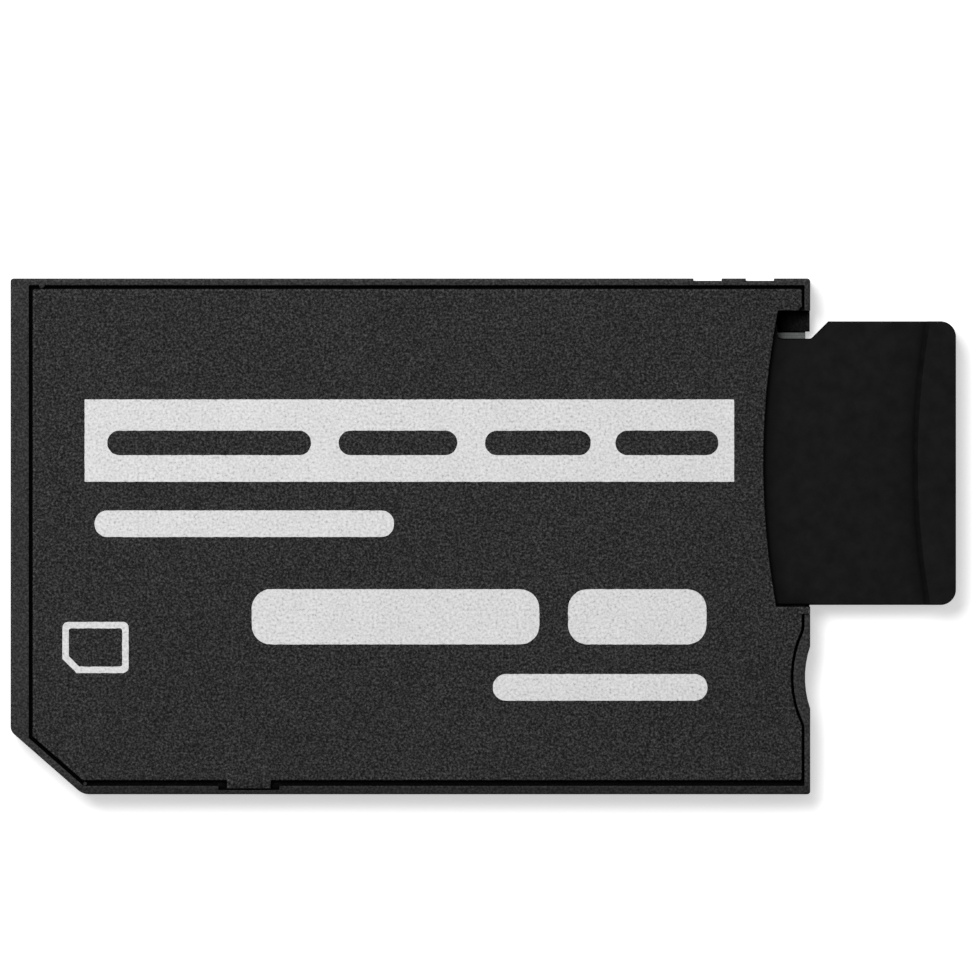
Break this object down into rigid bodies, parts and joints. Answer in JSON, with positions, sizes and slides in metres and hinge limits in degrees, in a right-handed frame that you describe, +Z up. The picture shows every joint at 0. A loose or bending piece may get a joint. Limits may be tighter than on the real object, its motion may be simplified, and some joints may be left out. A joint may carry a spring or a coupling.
{
  "type": "memory card adapter",
  "caption": "Flat plastic card adapter with a cut corner, host contacts under one end, and an open end from which a smaller memory card slides in and out.",
  "frame": {"origin": "middle of the adapter's underside, where it rests", "axes": "+X out of the card mouth, with the end that goes into the host at -X; +Y towards the long side beside which the card slides; +Z up out of the printed face"},
  "size_m": [0.0367, 0.02, 0.0016],
  "materials": {
    "case_plastic": "fine spark-eroded grain, charcoal",
    "card_plastic": "smooth matt, near black",
    "board_laminate": "grey solder mask",
    "contact_gold": "gold-plated",
    "spring_metal": "gold-flashed copper alloy",
    "block_plastic": "moulded, matt",
    "chip_plastic": "moulded, matt",
    "capacitor_ceramic": "ceramic with tinned ends",
    "resistor_ceramic": "ceramic with tinned ends"
  },
  "bodies": {
    "adapter": {"bottom_shell": "case_plastic", "top_cover": "case_plastic", "circuit_board": "board_laminate", "host_contact_1": "contact_gold", "host_contact_2": "contact_gold", "host_contact_3": "contact_gold", "host_contact_4": "contact_gold", "host_contact_5": "contact_gold", "host_contact_6": "contact_gold", "host_contact_7": "contact_gold", "host_contact_8": "contact_gold", "host_contact_9": "contact_gold", "host_contact_10": "contact_gold", "contact_block": "block_plastic", "card_spring_1": "spring_metal", "card_spring_2": "spring_metal", "card_spring_3": "spring_metal", "card_spring_4": "spring_metal", "card_spring_5": "spring_metal", "card_spring_6": "spring_metal", "card_spring_7": "spring_metal", "card_spring_8": "spring_metal", "controller_chip": "chip_plastic", "capacitor_1": "capacitor_ceramic", "capacitor_2": "capacitor_ceramic", "capacitor_3": "capacitor_ceramic", "resistor_1": "resistor_ceramic", "resistor_2": "resistor_ceramic"},
    "card": {"memory_card": "card_plastic", "card_pad_1": "contact_gold", "card_pad_2": "contact_gold", "card_pad_3": "contact_gold", "card_pad_4": "contact_gold", "card_pad_5": "contact_gold", "card_pad_6": "contact_gold", "card_pad_7": "contact_gold", "card_pad_8": "contact_gold"}
  },
  "joints": [
    {"name": "card_slide", "type": "slide", "parent": "adapter", "child": "card", "axis": [1, 0, 0], "range_m": [-0.00565, 0.0094]}
  ]
}
